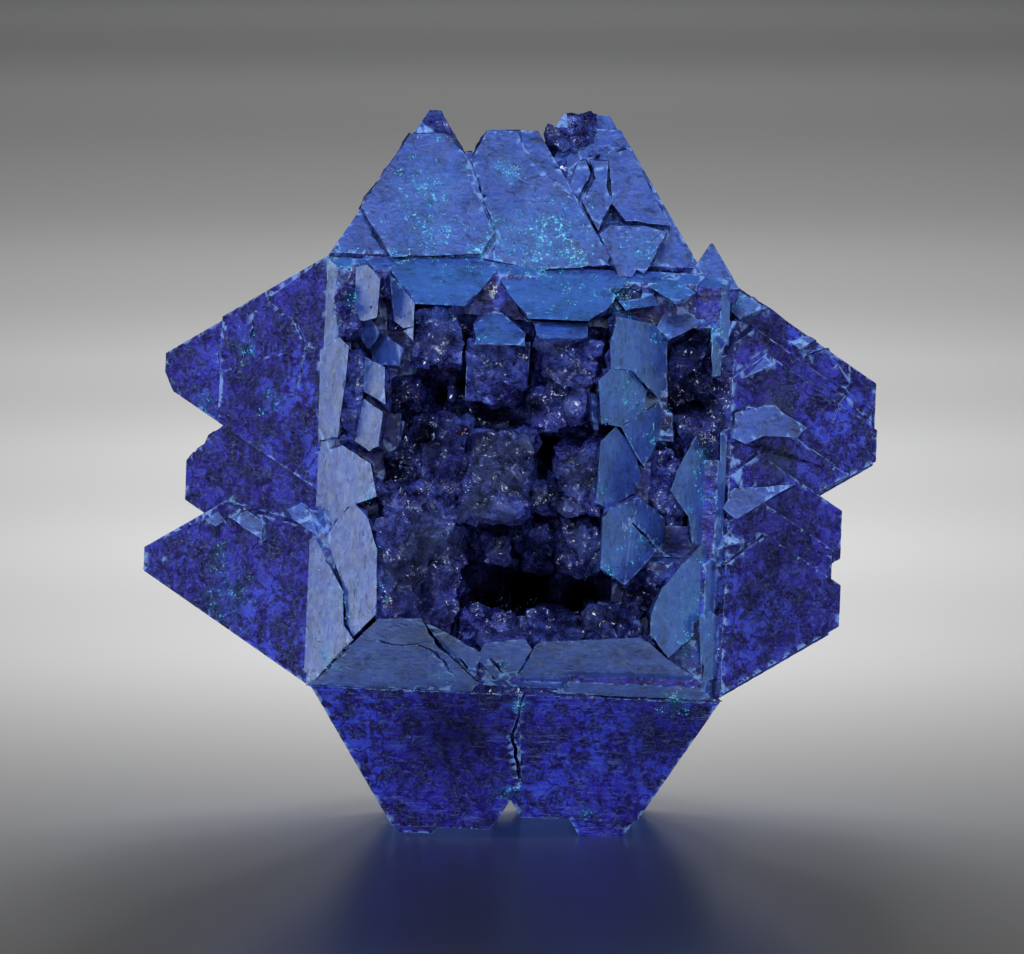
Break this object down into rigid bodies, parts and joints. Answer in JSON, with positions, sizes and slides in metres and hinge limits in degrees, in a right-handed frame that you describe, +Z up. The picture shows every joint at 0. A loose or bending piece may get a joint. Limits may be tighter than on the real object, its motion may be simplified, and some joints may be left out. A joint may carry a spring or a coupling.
{
  "type": "crystal cluster",
  "caption": "Star-shaped cumengeite cluster: stepped, truncated four-sided pyramids grown from the faces of a cube, the front one broken open into a rough pit. Decorative specimen.",
  "frame": {"origin": "centre of the bounding box on the plane the feet stand on", "axes": "+Z up, +Y away from the viewer, so the broken pyramid faces -Y; +X to the viewer's right"},
  "size_m": [0.0302, 0.0294, 0.0296],
  "materials": {
    "blue_crystal": "glassy to pearly faces, rough on the breaks"
  },
  "bodies": {
    "root": {"cumengeite": "blue_crystal"}
  },
  "joints": []
}
